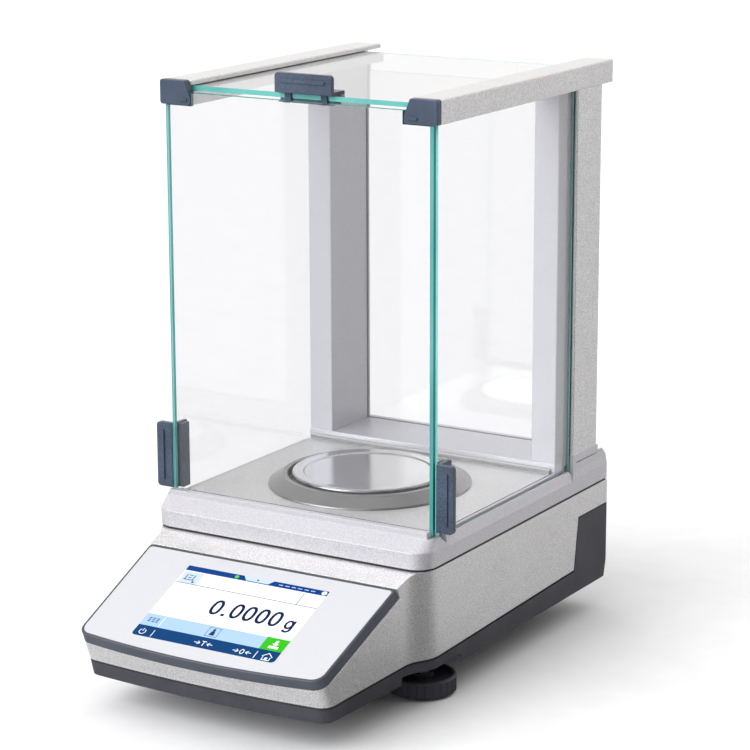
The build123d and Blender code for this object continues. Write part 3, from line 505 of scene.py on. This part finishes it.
# field: a pale box with a small weighing icon, and two thin lines
solid_from("screen_box", [rectangle(-46.4, 16.2, -34.0, 25.9)], 2, pale_blue)
icon = line([(-43.6, 18.4), (-43.6, 22.8)], WIDE) + line([(-38.4, 18.4), (-38.4, 22.8)], WIDE)
icon += line([(-44.4, 22.8), (-37.6, 22.8)], WIDE) + line([(-42.4, 19.0), (-39.6, 19.0)], RULE)
icon += line([(-42.3, 21.0), (-39.7, 21.0)], RULE)
solid_from("screen_box_icon", icon, 3, digit_navy)
solid_from("screen_box_dot", disc(-37.3, 24.3, 0.75, 16), 3, digit_navy)
rules = line([(-47.2, 26.1), (45.9, 26.1)], RULE) + line([(32.6, 16.6), (32.6, 25.8)], RULE)
solid_from("screen_rules", rules, 2, grey_line)

# reading: five zeros, a point and the unit
DIGIT_MIDDLE = 40.0
DIGIT_STROKE = 1.85
UNIT_STROKE = 1.45


def zero(x):
    """A narrow upright zero as a squared ellipse."""
    half_width, half_height, power, steps = 2.62, 5.25, 0.86, 44
    points = []
    for step in range(steps):
        a = 2 * math.pi * step / steps
        c, s = math.cos(a), math.sin(a)
        points.append((x + half_width * math.copysign(abs(c) ** power, c),
                       DIGIT_MIDDLE - half_height * math.copysign(abs(s) ** power, s)))
    return line(points, DIGIT_STROKE, closed=True)


reading = []
for middle in (-10.7, 2.6, 11.0, 19.4, 27.9):
    reading += zero(middle)
reading += [rectangle(-5.4, 44.0, -3.2, 46.0)]
bowl = arc(38.0, 42.4, 2.05, 2.95, 0, 360, 30)[:-1]
stem = [(40.4, 38.9), (40.4, 45.9)] + arc(38.2, 45.9, 2.2, 2.3, 0, -150, 14)[1:]
solid_from("screen_reading", reading, 2, digit_navy)
solid_from("screen_unit", line(bowl, UNIT_STROKE, closed=True), 2, digit_navy)
solid_from("screen_unit_tail", line(stem, UNIT_STROKE), 3, digit_navy)

# row of soft keys
dots = [rectangle(-44.3 + 2.5 * i, 57.4 + 1.35 * j, -42.7 + 2.5 * i, 58.1 + 1.35 * j)
        for i in range(3) for j in range(3)]
solid_from("screen_menu_icon", dots, 2, strip_navy)
solid_from("screen_key_rule", line([(-35.2, 55.2), (-35.2, 63.6)], FINE), 2, white_area)
key_box = rectangle(-4.9, 55.9, 2.5, 62.9)
solid_from("screen_key_box", line(key_box, FINE, closed=True), 2, grey_line)
weight_shape = [[(-2.9, 61.9), (-2.2, 58.6), (-0.2, 58.6), (0.5, 61.9)]]
weight_shape += disc(-1.2, 57.6, 0.95, 18)
solid_from("screen_weight_icon", weight_shape, 3, strip_navy)
press = [rectangle(36.0, 60.6, 42.2, 62.4), rectangle(38.2, 56.0, 40.0, 58.6)]
press += [[(36.9, 58.6), (41.3, 58.6), (39.1, 60.4)]]
solid_from("screen_green_icon", press, 3, icon_white)

# strip of fixed keys
power_icon = line(arc(-42.0, 69.2, 1.95, 1.95, 125, 415, 26), THIN)
power_icon += line([(-42.0, 66.6), (-42.0, 69.0)], THIN)
solid_from("screen_power_icon", power_icon, 2, icon_white)
marks = line([(-35.1, 66.6), (-35.1, 71.9)], MARK) + line([(32.4, 66.4), (32.4, 72.0)], MARK)
solid_from("screen_strip_marks", marks, 2, icon_white)


def arrow(tip_x, tail_x):
    """A short arrow along the middle of the strip."""
    back = 1.5 if tail_x > tip_x else -1.5
    head = line([(tip_x + back, STRIP_MIDDLE - 1.25), (tip_x, STRIP_MIDDLE),
                 (tip_x + back, STRIP_MIDDLE + 1.25)], THIN)
    return head + line([(tip_x + 0.2 * back, STRIP_MIDDLE), (tail_x, STRIP_MIDDLE)], THIN)


solid_from("screen_tare_arrows", arrow(-3.9, -7.4) + arrow(0.9, 4.4), 2, icon_white)
tare_mark = [rectangle(-2.9, 67.2, -0.1, 67.7), rectangle(-1.75, 67.7, -1.25, 71.0)]
solid_from("screen_tare_mark", tare_mark, 2, icon_white)
solid_from("screen_zero_arrows", arrow(21.2, 17.7) + arrow(26.0, 29.5), 2, icon_white)
zero_mark = line(arc(23.6, STRIP_MIDDLE, 1.05, 1.75, 0, 360, 24)[:-1], MEDIUM, closed=True)
solid_from("screen_zero_mark", zero_mark, 2, icon_white)
roof = line([(36.5, 69.2), (39.8, 66.4), (43.1, 69.2)], MEDIUM)
walls = line([(37.5, 69.4), (37.5, 71.9), (42.1, 71.9), (42.1, 69.4)], MEDIUM)
solid_from("screen_home_icon", walls + [rectangle(39.0, 69.8, 40.6, 71.7)], 2, icon_white)
solid_from("screen_home_roof", roof, 3, icon_white)

# ------------------------------------------------------------------ floor, light, camera

DARK_REFLECTION_DIRECTION = (0.927, -0.375, 0)     # direction of the painted black reflection that glossy rays see in the bench
DIM_SIDE = (0.940, -0.340, 0.08)        # the side on which the surround is dark


def slab(name, half_size, thickness):
    """A large flat slab whose top is at height zero."""
    bm = bmesh.new()
    bmesh.ops.create_grid(bm, x_segments=2, y_segments=2, size=half_size)
    made = bmesh.ops.extrude_face_region(bm, geom=bm.faces[:])
    lower = [v for v in made["geom"] if isinstance(v, bmesh.types.BMVert)]
    bmesh.ops.translate(bm, verts=lower, vec=(0, 0, -thickness))
    bmesh.ops.recalc_face_normals(bm, faces=bm.faces[:])
    mesh = bpy.data.meshes.new(name)
    bm.to_mesh(mesh)
    bm.free()
    piece = bpy.data.objects.new(name, mesh)
    bpy.context.scene.collection.objects.link(piece)
    return piece


def bench_paint(name):
    """A white bench top. Glossy rays see it as a painted grey reflection, darkening to a painted
    black reflection towards one side.
    """
    g = Graph(name)
    rays = g.node("LightPath").outputs
    mirrored = g.math("SUBTRACT", rays["Is Glossy Ray"], rays["Is Transmission Ray"])
    white = g.ramp(g.noise(40, 2.0), (0.90, 0.90, 0.905), (0.93, 0.93, 0.935))
    bearing = g.node("VectorMath", {0: g.coordinates.outputs["Object"]}, operation="NORMALIZE")
    towards_dark_reflection = g.node("VectorMath", {0: bearing.outputs["Vector"], 1: DARK_REFLECTION_DIRECTION},
                          operation="DOT_PRODUCT").outputs["Value"]
    # painted reflection: grey, turning black towards one side, only where gloss mirrors the bench
    painted_dark_reflection = g.ramp(towards_dark_reflection, (0.46, 0.46, 0.47), (0.02, 0.02, 0.02), 0.80, 0.93)
    return g.surface(
        Base_Color=g.mix_colour(g.spread(mirrored, 0.0, 1.0, 0.0, 1.0), white, painted_dark_reflection),
        Roughness=0.75, Specular_IOR_Level=0.2,
    )


bench = slab("bench", 30.0, 0.02)
paint(bench, bench_paint("bench_white"))


def studio_world(brightness, dim, towards):
    """A white surround, dim towards one side, which the camera sees as plain white."""
    world = bpy.data.worlds.new("studio")
    world.use_nodes = True
    tree = world.node_tree
    place = tree.nodes.new("ShaderNodeTexCoord")
    facing = tree.nodes.new("ShaderNodeVectorMath")
    facing.operation = "DOT_PRODUCT"
    facing.inputs[1].default_value = Vector(towards).normalized()
    level = tree.nodes.new("ShaderNodeMapRange")
    level.interpolation_type = "SMOOTHSTEP"
    for key, value in (("From Min", 0.60), ("From Max", 0.90), ("To Min", brightness),
                       ("To Max", dim)):
        level.inputs[key].default_value = value
    background = tree.nodes["Background"]
    background.inputs["Color"].default_value = (0.995, 0.983, 0.972, 1)
    seen = tree.nodes.new("ShaderNodeBackground")
    seen.inputs["Color"].default_value = (1, 1, 1, 1)
    seen.inputs["Strength"].default_value = 1.0
    rays = tree.nodes.new("ShaderNodeLightPath")
    choice = tree.nodes.new("ShaderNodeMixShader")
    tree.links.new(place.outputs["Generated"], facing.inputs[0])
    tree.links.new(facing.outputs["Value"], level.inputs["Value"])
    tree.links.new(level.outputs["Result"], background.inputs["Strength"])
    tree.links.new(rays.outputs["Is Camera Ray"], choice.inputs[0])
    tree.links.new(background.outputs["Background"], choice.inputs[1])
    tree.links.new(seen.outputs["Background"], choice.inputs[2])
    tree.links.new(choice.outputs["Shader"], tree.nodes["World Output"].inputs["Surface"])
    return world


bpy.context.scene.world = studio_world(1.05, 0.0, DIM_SIDE)


def soft_sun(name, azimuth, elevation, strength, width, colour):
    """A wide distant light. Angles in degrees: azimuth 0 is in front, 90 on the +X side."""
    light = bpy.data.lights.new(name, "SUN")
    light.energy = strength
    light.angle = math.radians(width)
    light.color = colour
    lamp = bpy.data.objects.new(name, light)
    turn, lift = math.radians(azimuth), math.radians(elevation)
    place = Vector((math.sin(turn) * math.cos(lift), -math.cos(turn) * math.cos(lift),
                    math.sin(lift)))
    lamp.location = place * 3.0
    lamp.rotation_euler = (-place).to_track_quat("-Z", "Y").to_euler()
    bpy.context.scene.collection.objects.link(lamp)


soft_sun("key_light", -25.0, 31.0, 2.3, 50.0, (0.955, 0.97, 1.0))

# the camera: where it stands, how it is turned, and its lens
CAMERA_PLACE = (0.78786, -1.26894, 0.53349)
AZIMUTH = math.radians(31.227)
ELEVATION = math.radians(13.720)
ROLL = math.radians(-0.189)
FOCAL_LENGTH = 128.06
ahead = Vector((-math.sin(AZIMUTH) * math.cos(ELEVATION),
                math.cos(AZIMUTH) * math.cos(ELEVATION), -math.sin(ELEVATION)))
level = ahead.cross(Vector((0, 0, 1))).normalized()
upward = level.cross(ahead)
across = level * math.cos(ROLL) + upward * math.sin(ROLL)
upward = upward * math.cos(ROLL) - level * math.sin(ROLL)
camera_data = bpy.data.cameras.new("camera")
camera_data.sensor_width = 36.0
camera_data.lens = FOCAL_LENGTH
camera_data.clip_start = 0.05
camera_data.clip_end = 200.0
camera = bpy.data.objects.new("camera", camera_data)
turn = Matrix((across, upward, -ahead)).transposed().to_4x4()
camera.matrix_world = Matrix.Translation(CAMERA_PLACE) @ turn
bpy.context.scene.collection.objects.link(camera)
bpy.context.scene.camera = camera

scene = bpy.context.scene
scene.view_settings.view_transform = "Standard"
scene.view_settings.look = "None"
scene.cycles.transparent_max_bounces = 32
